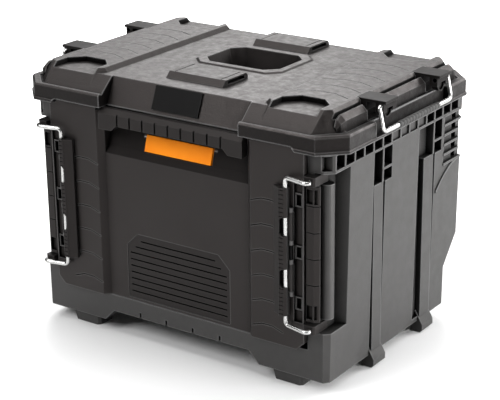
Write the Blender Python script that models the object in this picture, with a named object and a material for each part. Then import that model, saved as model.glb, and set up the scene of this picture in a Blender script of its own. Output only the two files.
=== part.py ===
"""Stacking toolbox with one front drawer, draw latches and swinging side handles.

Metres, +Z up, the front looks along -Y. Depths are measured from the rim's front face.
"""
import math

import bmesh
import bpy
from mathutils import Vector

# Overall sizes
WIDTH = 0.564
DEPTH = 0.400
FOOT_H = 0.019
BODY_TOP = 0.358
RIM_H = 0.026
FASCIA_H = 0.0205
LAND_H = 0.0065

# Clearances, and how far a cutter reaches past a surface
GAP = 0.0003
RUN = 0.00008
SLIDE_GAP = 0.0006
OVER = 0.020

# Body shell
BODY_INSET = 0.024
BODY_FLARE = 0.005
BODY_FRONT = 0.018
REAR_INSET = 0.010
CORNER_CUT = 0.012
CORNER_W = 0.033
WALL = 0.012
BACK_WALL = 0.006
BASE_H = 0.046
BASE_STEP = 0.003
TAIL_INSET = 0.047
TAIL_RISE = 0.062
TAIL_SLOPE = 0.046
POST_DEPTH = 0.062
CHANNEL_INSET = 0.133
CHANNEL_H = 0.018
MARK_W = 0.004
MARK_H = 0.009
MARK_DEPTH = 0.003
MARK_PITCH = 0.049
FOOT_INSET = 0.043
FOOT_W = 0.056
FOOT_LEN = 0.042
FOOT_TAPER = 0.004
CLIP_OUT = 0.009
CLIP_W = 0.033
CLIP_H = 0.026
GROOVE_DEPTH = 0.006
POUCH_DROP = 0.079
SLOT_A_SHIFT = 0.069
SLOT_A_W = 0.0325
STRIP_A_FROM = 0.004
STRIP_A_W = 0.025
POUCH_A_W = 0.024
SLOT_B_SHIFT = 0.0585
SLOT_B_W = 0.051
STRIP_B_FROM = 0.0195
STRIP_B_W = 0.0285
POUCH_B_W = 0.044
CELL_W = 0.023
CELL_H = 0.0175
POCKET_FRONT = 0.031
POCKET_REAR = 0.019
POCKET_COUNT = 14
POCKET_WEB = 0.0035
POCKET_DROP = 0.026
POCKET_H = 0.021
POCKET_WALL = 0.004
SHALLOW = 0.003
RECESS_IN = 0.018
RECESS_LEN = 0.042
RECESS_CUT = 0.015
RECESS_END = 0.002
PILLAR_R = 0.010
PILLAR_DEPTH = 0.037
RIB_DROP = 0.1065
RIB_PITCH = 0.0152
RIB_COUNT = 6
RIB_T = 0.0035
RIB_LEN = 0.064
RIB_OUT = 0.003
LONG_RIBS = 2
FIN_DEPTH = 0.005
FIN_HOLE_INSET = 0.034
FIN_HOLE_W = 0.014
BRACE_LEN = 0.075
BRACE_DROP = 0.037
BRACE_FROM = 0.022

# Top cover
RIM_CUT = 0.034
RIM_LIP = 0.003
RIM_BEAD = 0.0012
RIM_BEAD_H = 0.004
LEDGE_LINE = 0.002
RIM_STEP = 0.006
RIM_STEP_INSET = 0.016
FASCIA_SIDE = 0.012
FASCIA_LEDGE = 0.007
FASCIA_RUN = 0.034
REAR_RUN = 0.043
SETBACK_INSET = 0.005
SETBACK_FOOT = 0.020
SETBACK_TOP = 0.037
LAND_INSET = 0.036
LAND_W = 0.108
LAND_SLOPE = 0.008
LAND_FRONT = 0.038
LAND_REAR_INSET = 0.040
BAY_IN_GAP = 0.017
BAY_OUT_GAP = 0.014
BAY_LEN = 0.044
BAY_CUT = 0.020
BAY_DROP = 0.008
SCALE_COUNT = 6
SCALE_W = 0.0016
SCALE_DEPTH = 0.0012
SCALE_RISE = 0.012
WELL_HALF = 0.066
WELL_GAP_FRONT = 0.041
WELL_GAP_REAR = 0.020
WELL_CUT = 0.018
WELL_DEPTH = 0.045
WELL_SLOPE = 0.010
WELL_RIM = 0.012
WELL_RIM_H = 0.0022
SHELL = 0.004
SIDE_BEAD_INSET = 0.0148
SIDE_BEAD_W = 0.0127
SIDE_BEAD_H = 0.020
SIDE_BEAD_END = 0.036
SIDE_LINE_W = 0.005

# Name plate and cleats
PLATE_HALF = 0.041
PLATE_T = 0.0028
PLATE_DROP = 0.014
PLATE_H = 0.033
CLEAT_HALF = 0.050
CLEAT_H = 0.009
CLEAT_FRONT = 0.068
CLEAT_LEN = 0.063
REAR_CLEAT_INSET = 0.049
CLEAT_BAR = 0.010
CLEAT_SLOT = 0.005

# Side handles
BRACKET_IN = 0.040
BRACKET_W = 0.034
BRACKET_H = 0.017
BRACKET_REACH = 0.003
BRACKET_ROOF = 0.004
ROOF_OUT = 0.0035
TONGUE_R = 0.010
TONGUE_EDGE = 0.002
TONGUE_DEPTH = 0.0055
TUNNEL_W = 0.014
HANDLE_BAY = 0.010
LEG_ROOM = 0.0035
HANDLE_SHIFT = 0.0075
BRACKET_SPAN = 0.076
PIVOT_IN = 0.0045
PIVOT_DROP = 0.0078
HANDLE_WIRE = 0.0032
HANDLE_DROP = 0.034
HANDLE_OUT = 0.0075
HANDLE_BEND = 0.008
GRIP_HALF = 0.0575
GRIP_WALL = 0.0016
GRIP_RINGS = 14

# Drawer
COLUMN_FRONT = 0.009
COLUMN_W = 0.097
PANEL_FRONT = 0.018
PANEL_BACK = 0.044
DRAWER_CUT = 0.012
SINK_DROP = 0.067
SINK_LIP = 0.011
SINK_RISE = 0.038
SINK_MID_DEPTH = 0.009
SINK_BACK = 0.020
BIN_INSET = 0.013
BIN_CLEAR = 0.007
BIN_LIFT = 0.003
BIN_DROP = 0.028
BIN_WALL = 0.0035
RUNNER_W = 0.010
RUNNER_H = 0.012
RUNNER_RISE = 0.127
RUNNER_FRONT = 0.060
RAIL_T = 0.005
RAIL_LIP = 0.009
BAR_FRONT = 0.004
BAR_T = 0.014
BAR_DROP = 0.026
BAR_RISE = 0.008
BAR_END = 0.024
BAR_RIBS = 9
RIB_CUT = 0.0016
PAD_HALF = 0.093
PAD_LIFT = 0.005
PAD_H = 0.103
PAD_CUT = 0.020
PAD_T = 0.005
PAD_RIBS = 9
PAD_RIB_CUT = 0.0018
PADDLE_HALF = 0.059
PADDLE_LEN = 0.0246
PADDLE_T = 0.008
PADDLE_PROUD = 0.0034
PADDLE_START = 0.0005
PADDLE_ROOM = 0.005
PADDLE_PIN = 0.0014
PADDLE_PIN_OVER = 0.006
PADDLE_PIN_IN = 0.0032

# Draw latches
LEVER_EDGE = 0.0218
LEVER_W = 0.0235
LEVER_H = 0.188
LEVER_PROUD = 0.004
LEVER_T = 0.0115
LEVER_LIP = 0.004
LEVER_RAMP = 0.011
LEVER_TEETH = 30
LEVER_TOOTH = 0.0010
HINGE_DEPTH = 0.006
KNUCKLE_R = 0.0026
PIN_R = 0.0013
KNUCKLE_H = 0.040
KNUCKLE_PITCH = 0.076
LUG_H = 0.0065
STRIP_DEPTH = 0.004
STRIP_OVER = 0.010
SOCKET_W = 0.008
SOCKET_H = 0.016
SOCKET_WALL = 0.002
SOCKET_PROUD = 0.002
LATCH_WIRE = 0.0031
BAIL_EDGE = 0.0038
BAIL_DEPTH = 0.0025
BAIL_OVER = 0.0145
LEG_FRONT = 0.0062
LEG_BEND = 0.014
LEG_SIDE = 0.0157
LEG_SIDE_DEPTH = 0.0018
WIRE_BEND = 0.006
WINDOW_H = 0.027
WINDOW_IN = 0.007
WINDOW_CUT = 0.004
CORNER_POST_W = 0.0205
CORNER_POST_T = 0.008
CORNER_POST_EASE = 0.0062
POST_GAP = 0.0062
POST_LINES = 4
POST_LINE_PITCH = 0.0385
POST_LINE_SHIFT = 0.0135
CAP_H = 0.021
CAP_DEPTH = 0.004
KEEPER_OUT = 0.0048
KEEPER_LEN = 0.022
KEEPER_H = 0.013
KEEPER_GAP = 0.0014

# Reference planes and sizes that follow from the ones above
FRONT = (LEG_FRONT + LATCH_WIRE - DEPTH) / 2
BACK = FRONT + DEPTH
HALF = WIDTH / 2
RIM_TOP = BODY_TOP + RIM_H
PLATEAU = RIM_TOP + FASCIA_H
LAND_TOP = PLATEAU + LAND_H
BODY_Y = FRONT + BODY_FRONT
BODY_HALF = HALF - BODY_INSET
BODY_WIDE = BODY_HALF + BODY_FLARE
ROOM_HALF = BODY_HALF - WALL
TAIL_DEPTH = DEPTH - TAIL_INSET
TAIL_LOW = FOOT_H + TAIL_RISE
TAIL_HIGH = TAIL_LOW + TAIL_SLOPE
CHANNEL_HALF = BODY_HALF - CHANNEL_INSET
FOOT_OUT = BODY_HALF - FOOT_INSET
FOOT_IN = FOOT_OUT - FOOT_W
POUCH_LOW = BODY_TOP - POUCH_DROP
SLOT_A = DEPTH / 2 - SLOT_A_SHIFT
SLOT_B = DEPTH / 2 + SLOT_B_SHIFT
SHALLOW_FROM = SLOT_A + POUCH_A_W + CELL_W
SHALLOW_TO = SLOT_B + POUCH_B_W / 2
POCKET_X = ROOM_HALF + POCKET_WALL
POCKET_PITCH = (DEPTH - POCKET_FRONT - POCKET_REAR) / POCKET_COUNT
POCKET_LOW = BODY_TOP - POCKET_DROP
RIB_LOW = BODY_TOP - RIB_DROP
DRAWER_HALF = BODY_HALF - CORNER_W
MOUTH_HALF = DRAWER_HALF + SLIDE_GAP
DRAWER_LOW = FOOT_H + BASE_H
DRAWER_TOP = BODY_TOP - SLIDE_GAP - GAP
BASE_TOP = DRAWER_LOW - BASE_STEP
PANEL_HALF = DRAWER_HALF - COLUMN_W
SINK_LOW = BODY_TOP - SINK_DROP
SINK_MID = SINK_LOW + SINK_LIP
SINK_TOP = SINK_MID + SINK_RISE
BIN_HALF = DRAWER_HALF - BIN_INSET
BIN_BACK = TAIL_DEPTH - BACK_WALL - BIN_CLEAR
BIN_LOW = DRAWER_LOW + BIN_LIFT
BIN_TOP = BODY_TOP - BIN_DROP
RUNNER_Z = DRAWER_LOW + RUNNER_RISE
BAR_LOW = BODY_TOP - BAR_DROP
PAD_LOW = DRAWER_LOW + PAD_LIFT
RIM_STEP_HALF = DRAWER_HALF - RIM_STEP_INSET
SETBACK_HALF = PANEL_HALF - SETBACK_INSET
LAND_OUT = HALF - LAND_INSET
LAND_IN = LAND_OUT - LAND_W
LAND_REAR = DEPTH - LAND_REAR_INSET
BAY_IN = LAND_IN + BAY_IN_GAP
BAY_OUT = LAND_OUT - BAY_OUT_GAP
PLATE_LOW = RIM_TOP - PLATE_DROP
REAR_CLEAT_FRONT = DEPTH - REAR_CLEAT_INSET - CLEAT_LEN
WELL_FRONT = CLEAT_FRONT + CLEAT_LEN + WELL_GAP_FRONT
WELL_LEN = REAR_CLEAT_FRONT - WELL_GAP_REAR - WELL_FRONT
SIDE_BEAD_X = HALF - SIDE_BEAD_INSET
HANDLE_MID = DEPTH / 2 + HANDLE_SHIFT
LATCH_MID = (DRAWER_LOW + DRAWER_TOP) / 2
LEVER_LOW = LATCH_MID - LEVER_H / 2
LEVER_OUT = DRAWER_HALF - LEVER_EDGE
LEVER_IN = LEVER_OUT - LEVER_W
HINGE_X = LEVER_OUT + KNUCKLE_R + SLIDE_GAP
KNUCKLE_LOW = LATCH_MID - (KNUCKLE_PITCH + KNUCKLE_H) / 2
BAIL_X = LEVER_OUT - BAIL_EDGE
LEG_BEND_X = DRAWER_HALF + LEG_BEND
LEG_SIDE_X = DRAWER_HALF + LEG_SIDE
CORNER_POST_H = LEVER_H + 2 * (BAIL_OVER - LATCH_WIRE - POST_GAP)
RECESS_X = DRAWER_HALF + RECESS_IN
RECESS_H = LEVER_H + 2 * BAIL_OVER + KEEPER_H + 2 * RECESS_END
RECESS_LOW = LATCH_MID - RECESS_H / 2

SMOOTH_ANGLE = math.radians(32)


def clear_scene():
    for obj in list(bpy.data.objects):
        bpy.data.objects.remove(obj, do_unlink=True)


def material(name, colour, roughness, metallic=0.0):
    mat = bpy.data.materials.new(name)
    mat.use_nodes = True
    shader = mat.node_tree.nodes["Principled BSDF"]
    shader.inputs["Base Color"].default_value = (*colour, 1.0)
    shader.inputs["Roughness"].default_value = roughness
    shader.inputs["Metallic"].default_value = metallic
    return mat


def solid(name, verts, faces):
    """One closed mesh object with its faces turned outward."""
    mesh = bpy.data.meshes.new(name)
    mesh.from_pydata([tuple(v) for v in verts], [], faces)
    bm = bmesh.new()
    bm.from_mesh(mesh)
    bmesh.ops.recalc_face_normals(bm, faces=bm.faces)
    bm.to_mesh(mesh)
    bm.free()
    obj = bpy.data.objects.new(name, mesh)
    bpy.context.collection.objects.link(obj)
    return obj


def loft(name, rings):
    """A solid through rings of equally many points, capped at both ends."""
    count = len(rings[0])
    verts = [p for ring in rings for p in ring]
    faces = [list(range(count))]
    faces.append(list(range(len(verts) - count, len(verts))))
    for level in range(len(rings) - 1):
        base = level * count
        for i in range(count):
            j = (i + 1) % count
            faces.append([base + i, base + j, base + count + j, base + count + i])
    return solid(name, verts, faces)


def place(axis, point, along):
    """The 3-D point of an outline point on a plane square to the axis."""
    if axis == "x":
        return (along, point[0], point[1])
    if axis == "y":
        return (point[0], along, point[1])
    return (point[0], point[1], along)


def prism(name, axis, outline, low, high):
    rings = [[place(axis, p, along) for p in outline] for along in (low, high)]
    return loft(name, rings)


def box(name, low, high):
    outline = [(low[0], low[1]), (high[0], low[1]), (high[0], high[1]), (low[0], high[1])]
    return prism(name, "z", outline, low[2], high[2])


def circle(cx, cy, radius, count=24):
    turns = [2 * math.pi * i / count for i in range(count)]
    return [(cx + radius * math.cos(t), cy + radius * math.sin(t)) for t in turns]


def hole_radius(radius, clearance, count=24):
    """A bore polygon whose flats clear the shaft."""
    return (radius + clearance) / math.cos(math.pi / count)


def cut_rect(x0, x1, y0, y1, cut):
    """A rectangle with four cut corners."""
    return [(x0 + cut, y0), (x1 - cut, y0), (x1, y0 + cut), (x1, y1 - cut),
            (x1 - cut, y1), (x0 + cut, y1), (x0, y1 - cut), (x0, y0 + cut)]


def level(outline, z):
    return [(p[0], p[1], z) for p in outline]


def boolean(target, other, operation):
    mod = target.modifiers.new("shape", "BOOLEAN")
    mod.operation = operation
    mod.solver = "EXACT"
    mod.object = other
    bpy.context.view_layer.objects.active = target
    bpy.ops.object.modifier_apply(modifier=mod.name)
    bpy.data.objects.remove(other, do_unlink=True)


def cut(target, *others):
    for other in others:
        boolean(target, other, "DIFFERENCE")


def fuse(target, *others):
    for other in others:
        boolean(target, other, "UNION")


def round_path(points, radius, steps=4):
    """A polyline whose inner corners are arcs of the given radius."""
    path = [Vector(points[0])]
    for before, corner, after in zip(points, points[1:], points[2:]):
        c = Vector(corner)
        a = (Vector(before) - c).normalized()
        b = (Vector(after) - c).normalized()
        half = a.angle(b) / 2
        reach = radius / math.tan(half)
        centre = c + (a + b).normalized() * (radius / math.sin(half))
        start = c + a * reach - centre
        end = c + b * reach - centre
        sweep = start.angle(end)
        for i in range(steps + 1):
            t = i / steps
            arm = (start * math.sin((1 - t) * sweep) + end * math.sin(t * sweep)) / math.sin(sweep)
            path.append(centre + arm)
    path.append(Vector(points[-1]))
    return path


def tube(name, path, radius, count=12):
    """A round bar along a path, its section carried without twist."""
    heading = (path[1] - path[0]).normalized()
    side = heading.orthogonal().normalized()
    rings = []
    for i, point in enumerate(path):
        ahead = path[min(i + 1, len(path) - 1)] - point
        behind = point - path[max(i - 1, 0)]
        if ahead.length == 0:
            ahead = behind
        if behind.length == 0:
            behind = ahead
        now = (ahead.normalized() + behind.normalized()).normalized()
        side = (side - now * side.dot(now)).normalized()
        other = now.cross(side)
        ring = []
        for k in range(count):
            t = 2 * math.pi * k / count
            ring.append(point + (side * math.cos(t) + other * math.sin(t)) * radius)
        rings.append(ring)
    return loft(name, rings)


def finish(obj, name, mat):
    """Name, material, smooth faces and sharp edges by angle."""
    obj.name = name
    obj.data.name = name
    obj.data.materials.clear()
    obj.data.materials.append(mat)
    bm = bmesh.new()
    bm.from_mesh(obj.data)
    bmesh.ops.remove_doubles(bm, verts=bm.verts, dist=0.000001)
    bmesh.ops.dissolve_limit(bm, angle_limit=0.0005, verts=bm.verts, edges=bm.edges)
    bmesh.ops.triangulate(bm, faces=bm.faces, quad_method="BEAUTY", ngon_method="BEAUTY")
    for face in bm.faces:
        face.smooth = True
        face.material_index = 0
    for edge in bm.edges:
        edge.smooth = len(edge.link_faces) == 2 and edge.calc_face_angle() < SMOOTH_ANGLE
    bm.to_mesh(obj.data)
    bm.free()
    return obj


def set_origin(obj, point):
    """Moves the object's origin without moving its shape."""
    shift = Vector(point)
    for v in obj.data.vertices:
        v.co -= shift
    obj.location = shift


def depth(value):
    """The Y of a depth behind the rim's front face."""
    return FRONT + value


def make_body(mat):
    rear = BACK - REAR_INSET
    tail = depth(TAIL_DEPTH)
    top = BODY_TOP - GAP
    wide = BODY_WIDE
    over = OVER
    profile = [(BODY_Y, FOOT_H), (tail, FOOT_H), (tail, TAIL_LOW),
               (rear, TAIL_HIGH), (rear, top), (BODY_Y, top)]
    body = prism("body", "x", profile, -BODY_HALF, BODY_HALF)
    for v in body.data.vertices:
        rise = (v.co.z - FOOT_H) / (top - FOOT_H)
        v.co.x *= 1 + BODY_FLARE / BODY_HALF * rise
    add_ribs(body, rear)
    for side in (-1, 1):
        corner = [(side * (wide - CORNER_CUT - over), BODY_Y - over), (side * (wide + over), BODY_Y - over),
                  (side * (wide + over), BODY_Y + CORNER_CUT + over)]
        cut(body, prism("corner", "z", corner, FOOT_H - over, top + over))
    mouth_back = BODY_Y + POST_DEPTH
    cut(body, box("mouth", (-MOUTH_HALF, BODY_Y - over, DRAWER_LOW - SLIDE_GAP),
                  (MOUTH_HALF, mouth_back + over, top + over)))
    inner_tail = tail - BACK_WALL
    inner_rear = rear - BACK_WALL
    room = [(mouth_back, BASE_TOP), (inner_tail, BASE_TOP), (inner_tail, TAIL_LOW + BACK_WALL),
            (inner_rear, TAIL_HIGH + BACK_WALL), (inner_rear, top + over), (mouth_back, top + over)]
    cut(body, prism("room", "x", room, -ROOM_HALF, ROOM_HALF))
    low = FOOT_H - over
    wide_foot = CHANNEL_HALF + CHANNEL_H + over
    arch = [(-wide_foot, low), (wide_foot, low), (CHANNEL_HALF, FOOT_H + CHANNEL_H),
            (-CHANNEL_HALF, FOOT_H + CHANNEL_H)]
    cut(body, prism("arch", "y", arch, BODY_Y - over, tail + over))
    for i in (-1.5, -0.5, 0.5, 1.5):
        x = i * MARK_PITCH
        z = FOOT_H + CHANNEL_H
        cut(body, box("mark", (x - MARK_W / 2, BODY_Y - over, z - over),
                      (x + MARK_W / 2, BODY_Y + MARK_DEPTH, z + MARK_H)))
    for side in (-1, 1):
        for start in (BODY_Y + FOOT_TAPER, tail - FOOT_LEN - FOOT_TAPER):
            fuse(body, make_foot(side, start))
        cut_slot(body, side, SLOT_A, SLOT_A_W, STRIP_A_FROM, STRIP_A_W, POUCH_A_W)
        cut_slot(body, side, SLOT_B, SLOT_B_W, STRIP_B_FROM, STRIP_B_W, POUCH_B_W)
        for i in range(POCKET_COUNT):
            y = POCKET_FRONT + i * POCKET_PITCH
            hidden = SHALLOW_FROM < y + POCKET_PITCH / 2 < SHALLOW_TO
            x = sorted((side * (wide - SHALLOW if hidden else POCKET_X), side * (wide + over)))
            cut(body, box("pocket", (x[0], depth(y), POCKET_LOW),
                          (x[1], depth(y) + POCKET_PITCH - POCKET_WEB, POCKET_LOW + POCKET_H)))
        x = sorted((side * (wide - CORNER_CUT - POCKET_WALL), side * (wide + over)))
        cut(body, box("pocket", (x[0], BODY_Y - over, POCKET_LOW),
                      (x[1], BODY_Y + CORNER_CUT - POCKET_WEB, POCKET_LOW + POCKET_H)))
        nose = RECESS_CUT / 2
        bay = [(side * (RECESS_X - nose), BODY_Y - over), (side * (RECESS_X - nose), BODY_Y),
               (side * RECESS_X, BODY_Y + RECESS_CUT),
               (side * RECESS_X, BODY_Y + RECESS_LEN),
               (side * (wide + RECESS_CUT), BODY_Y + RECESS_LEN + RECESS_CUT),
               (side * (wide + RECESS_CUT), BODY_Y - over)]
        cut(body, prism("bay", "z", bay, RECESS_LOW, RECESS_LOW + RECESS_H))
        pillar = circle(side * (RECESS_X + RECESS_END), depth(PILLAR_DEPTH), PILLAR_R)
        fuse(body, prism("pillar", "z", pillar, LATCH_MID - CORNER_POST_H / 2, LATCH_MID + CORNER_POST_H / 2))
    return finish(body, "body_shell", mat)


def add_ribs(body, rear):
    """Level ribs round the back with sunk fins on the sides, holes and a curved brace under them."""
    wide = BODY_WIDE
    start = BACK - RIB_LEN
    fin_top = POCKET_LOW - POCKET_WEB
    for side in (-1, 1):
        x = sorted((side * (wide - FIN_DEPTH), side * (wide + OVER)))
        cut(body, box("fins", (x[0], start, RIB_LOW), (x[1], BACK + OVER, fin_top)))
    for i in range(RIB_COUNT):
        z = RIB_LOW + i * RIB_PITCH
        end = BACK if i >= RIB_COUNT - LONG_RIBS else rear + RIB_OUT
        slab = [(-wide, start), (wide, start), (wide, end - CORNER_CUT),
                (wide - CORNER_CUT, end), (CORNER_CUT - wide, end), (-wide, end - CORNER_CUT)]
        fuse(body, prism("rib", "z", slab, z, z + RIB_T))
    hole = BACK - FIN_HOLE_INSET
    for side in (-1, 1):
        x = sorted((side * POCKET_X, side * (wide + OVER)))
        for i in range(RIB_COUNT - 1):
            z = RIB_LOW + i * RIB_PITCH + RIB_T
            top = RIB_LOW + (i + 1) * RIB_PITCH
            cut(body, box("hole", (x[0], hole, z), (x[1], hole + FIN_HOLE_W, top)))
        arc = []
        for i in range(7):
            t = i / 6
            arc.append((start - BRACE_FROM + t * BRACE_LEN, RIB_LOW + RIB_T - BRACE_DROP * (1 - t) ** 2))
        brace = arc + [(y, z - RIB_T) for y, z in reversed(arc)]
        x = sorted((side * POCKET_X, side * wide))
        fuse(body, prism("brace", "x", brace, *x))


def make_foot(side, start):
    end = start + FOOT_LEN
    rings = []
    for z, inset in ((0.0, FOOT_TAPER), (FOOT_H + FOOT_TAPER, 0.0)):
        outline = cut_rect(FOOT_IN + inset, FOOT_OUT - inset, start + inset, end - inset, FOOT_TAPER)
        rings.append([(side * x, y, z) for x, y in outline])
    return loft("foot", rings)


def cut_slot(body, side, start, width, strip_from, strip, pouch):
    """One upright stacking slot: a raised strip in a groove, a pouch, two cells and a clip at the foot."""
    a = depth(start)
    outer = side * (HALF + GROOVE_DEPTH)
    x = sorted((side * (BODY_HALF - GROOVE_DEPTH), outer))
    cut(body, box("slot", (x[0], a, CLIP_H), (x[1], a + width, POUCH_LOW + GAP)))
    low = a + strip_from
    mid = low + strip / 2
    x = sorted((side * POCKET_X, side * (BODY_HALF + BODY_FLARE / 2)))
    fuse(body, box("strip", (x[0], low, CLIP_H - FOOT_TAPER), (x[1], low + strip, POUCH_LOW + 2 * GAP)))
    x = sorted((side * POCKET_X, outer))
    top = POCKET_LOW - POCKET_WEB
    cut(body, box("pouch", (x[0], a, POUCH_LOW), (x[1], a + pouch, top)))
    cell = a + pouch + POCKET_WEB
    shelf = POUCH_LOW + CELL_H
    cut(body, box("cell", (x[0], cell, POUCH_LOW), (x[1], cell + CELL_W, shelf)))
    cut(body, box("cell", (x[0], cell, shelf + POCKET_WEB), (x[1], cell + CELL_W, top)))
    clip = [(side * (BODY_HALF - WALL), 0.0), (side * (BODY_HALF + CLIP_OUT - FOOT_TAPER), 0.0),
            (side * (BODY_HALF + CLIP_OUT), FOOT_TAPER), (side * (BODY_HALF + CLIP_OUT), CLIP_H / 2),
            (side * (BODY_HALF - FOOT_TAPER), CLIP_H + CLIP_OUT), (side * (BODY_HALF - WALL), CLIP_H)]
    fuse(body, prism("clip", "y", clip, mid - CLIP_W / 2, mid + CLIP_W / 2))


def well_ring(half_grow, z):
    y0 = depth(WELL_FRONT) - half_grow
    y1 = depth(WELL_FRONT + WELL_LEN) + half_grow
    half = WELL_HALF + half_grow
    return level(cut_rect(-half, half, y0, y1, WELL_CUT), z)


def setback_line(z):
    """Depth of the set-back middle fascia at a height."""
    foot = BODY_TOP + RIM_STEP
    return SETBACK_FOOT + (SETBACK_TOP - SETBACK_FOOT) * (z - foot) / (PLATEAU - foot)


def chevron(x0, x1, y, rise, width):
    """Plan of one bent scale line."""
    third = (x1 - x0) / 3
    line = [(x0, y), (x0 + third, y + rise), (x1 - third, y + rise), (x1, y)]
    return line + [(px, py + width) for px, py in reversed(line)]


def make_cover(mat):
    over = OVER
    lip = RIM_LIP
    rim = cut_rect(-HALF, HALF, FRONT, BACK, RIM_CUT)
    soft = cut_rect(lip - HALF, HALF - lip, FRONT + lip, BACK - lip, RIM_CUT)
    ledge_half = HALF - FASCIA_SIDE
    ledge = cut_rect(-ledge_half, ledge_half, FRONT + FASCIA_LEDGE, BACK - FASCIA_LEDGE, RIM_CUT)
    line_half = ledge_half - LEDGE_LINE
    line_end = FASCIA_LEDGE + LEDGE_LINE
    line = cut_rect(-line_half, line_half, FRONT + line_end, BACK - line_end, RIM_CUT)
    sunk = RIM_TOP - LEDGE_LINE
    bead = RIM_BEAD
    face = cut_rect(bead - HALF, HALF - bead, FRONT + bead, BACK - bead, RIM_CUT)
    bead_top = BODY_TOP + RIM_BEAD_H
    crown_half = LAND_OUT + FASCIA_LEDGE
    crown = cut_rect(-crown_half, crown_half, depth(FASCIA_RUN), BACK - REAR_RUN, RIM_CUT)
    cover = loft("cover", [level(rim, BODY_TOP), level(rim, bead_top), level(face, bead_top + bead),
                           level(face, RIM_TOP - lip), level(soft, RIM_TOP), level(ledge, RIM_TOP),
                           level(ledge, sunk), level(line, sunk), level(crown, PLATEAU)])
    for side in (-1, 1):
        foot = cut_rect(LAND_IN - FASCIA_H, line_half, FRONT + line_end, BACK - line_end, RIM_CUT)
        roof = cut_rect(LAND_IN + LAND_SLOPE, LAND_OUT, depth(LAND_FRONT), depth(LAND_REAR), LAND_SLOPE)
        rings = [[(side * x, y, RIM_TOP - lip) for x, y in foot],
                 [(side * x, y, LAND_TOP) for x, y in roof]]
        fuse(cover, loft("land", rings))
        add_side_bead(cover, side)
    collar_top = PLATEAU + WELL_RIM_H
    fuse(cover, loft("collar", [well_ring(WELL_RIM, PLATEAU - lip), well_ring(WELL_RIM, PLATEAU),
                                well_ring(WELL_RIM - WELL_RIM_H, collar_top)]))
    for side in (-1, 1):
        for near, far in ((depth(0) - over, depth(LAND_FRONT) + BAY_LEN),
                          (depth(LAND_REAR) - BAY_LEN, BACK + over)):
            way = 1 if near < depth(0) else -1
            open_y, shut_y = (near, far) if way > 0 else (far, near)
            bay = [(BAY_IN, open_y), (BAY_OUT, open_y), (BAY_OUT, shut_y - way * BAY_CUT),
                   (BAY_OUT - BAY_CUT, shut_y), (BAY_IN + BAY_CUT, shut_y),
                   (BAY_IN, shut_y - way * BAY_CUT)]
            bay = [(side * x, y) for x, y in bay]
            cut(cover, prism("bay", "z", bay, LAND_TOP - BAY_DROP, LAND_TOP + over))
        start = LAND_FRONT + BAY_LEN
        pitch = (LAND_REAR - BAY_LEN - start) / (SCALE_COUNT + 1)
        for i in range(SCALE_COUNT):
            line = chevron(LAND_IN + 2 * LAND_SLOPE, LAND_OUT - LAND_SLOPE,
                           depth(start + (i + 0.5) * pitch), SCALE_RISE, SCALE_W)
            line = [(side * x, y) for x, y in line]
            cut(cover, prism("scale", "z", line, LAND_TOP - SCALE_DEPTH, LAND_TOP + over))
        for end in (-1, 1):
            low, high = bracket_box(side, end, GAP)
            reach = sorted((low[0], high[0], side * (HALF + over)), key=abs)
            x = sorted((reach[0], reach[-1]))
            cut(cover, box("seat", (x[0], low[1], low[2]), (x[1], high[1], high[2] + over)))
        cut_handle_bay(cover, side)
    step = RIM_STEP_HALF + RIM_STEP
    notch = [(-step - over, BODY_TOP - over), (step + over, BODY_TOP - over),
             (RIM_STEP_HALF, BODY_TOP + RIM_STEP), (-RIM_STEP_HALF, BODY_TOP + RIM_STEP)]
    cut(cover, prism("notch", "y", notch, FRONT - over, depth(PANEL_BACK)))
    low = BODY_TOP - over
    high = PLATEAU + over
    setback = [(FRONT - over, low), (depth(setback_line(low)), low),
               (depth(setback_line(high)), high), (FRONT - over, high)]
    cut(cover, prism("setback", "x", setback, -SETBACK_HALF, SETBACK_HALF))
    room_half = ROOM_HALF + SHELL
    deep = PANEL_BACK + SHELL
    lower = cut_rect(-room_half, room_half, depth(deep), BACK - REAR_INSET - BACK_WALL, CORNER_CUT)
    upper_half = LAND_OUT - 2 * SHELL
    upper = cut_rect(-upper_half, upper_half, depth(deep + SHELL), BACK - REAR_RUN - 2 * SHELL, CORNER_CUT)
    hollow = loft("hollow", [level(lower, BODY_TOP - over), level(lower, RIM_TOP - 2 * SHELL),
                             level(upper, PLATEAU - SHELL)])
    floor = PLATEAU - WELL_DEPTH
    cut(hollow, loft("cup", [well_ring(SHELL - WELL_SLOPE, floor - SHELL), well_ring(SHELL, PLATEAU),
                             well_ring(SHELL, PLATEAU + over)]))
    cut(cover, hollow)
    fuse_floor = well_ring(-WELL_SLOPE, floor)
    mouth = [well_ring(0.0, PLATEAU + WELL_RIM_H), well_ring(0.0, PLATEAU + over)]
    cut(cover, loft("well", [fuse_floor] + mouth))
    return finish(cover, "top_cover", mat)


def cut_handle_bay(cover, side):
    """The notch in the rim for the folded handle, and the gaps where its two legs pass the rail."""
    mid = depth(HANDLE_MID)
    end = handle_points(side)[3][1] - mid + HANDLE_WIRE + LEG_ROOM
    x = sorted((side * (HALF - HANDLE_BAY), side * (HALF + OVER)))
    cut(cover, box("notch", (x[0], mid - end, BODY_TOP + RIM_BEAD_H), (x[1], mid + end, RIM_TOP + OVER)))
    x = sorted((side * (SIDE_BEAD_X - SIDE_BEAD_W), side * (HALF + OVER)))
    inner = BRACKET_SPAN - BRACKET_W / 2 - GAP
    for y in ((mid - end, mid - inner), (mid + inner, mid + end)):
        cut(cover, box("gap", (x[0], y[0], RIM_TOP), (x[1], y[1], LAND_TOP + OVER)))


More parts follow.
